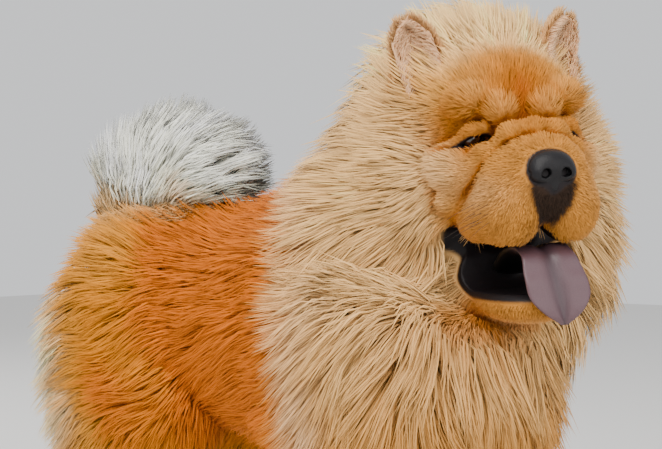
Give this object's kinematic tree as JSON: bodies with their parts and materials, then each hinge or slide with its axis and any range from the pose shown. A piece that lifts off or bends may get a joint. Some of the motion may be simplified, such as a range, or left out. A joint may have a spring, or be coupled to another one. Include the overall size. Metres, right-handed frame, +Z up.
{
  "type": "chow chow",
  "caption": "Life-size still model of a chow chow standing with its head turned to its right, mouth open with the tongue out, thick ruff and tail plume over its back.",
  "frame": {"origin": "on the floor, under the middle of the whole animal's box", "axes": "+X the way the dog is heading, +Y its left, +Z up"},
  "size_m": [0.7482, 0.4262, 0.7238],
  "materials": {
    "coat_orange": "long stand-off fur, orange red",
    "coat_gold": "long stand-off fur, gold",
    "coat_cream": "long plume fur, cream",
    "coat_face": "short dense fur, golden orange",
    "nose_leather": "moist, finely pebbled",
    "eye": "wet, dark brown",
    "tongue": "moist, blue grey"
  },
  "bodies": {
    "root": {"head": "coat_face", "neck": "coat_gold", "torso": "coat_orange", "tail": "coat_cream", "thigh_left": "coat_gold", "thigh_right": "coat_gold", "front_leg_left": "coat_gold", "front_leg_right": "coat_gold", "hock_left": "coat_gold", "hock_right": "coat_gold", "front_foot_left": "coat_gold", "front_foot_right": "coat_gold", "hind_foot_left": "coat_gold", "hind_foot_right": "coat_gold", "ear_left": "coat_face", "ear_right": "coat_face", "lower_jaw": "coat_face", "nose": "nose_leather", "eye_left": "eye", "eye_right": "eye", "tongue": "tongue"}
  },
  "joints": []
}
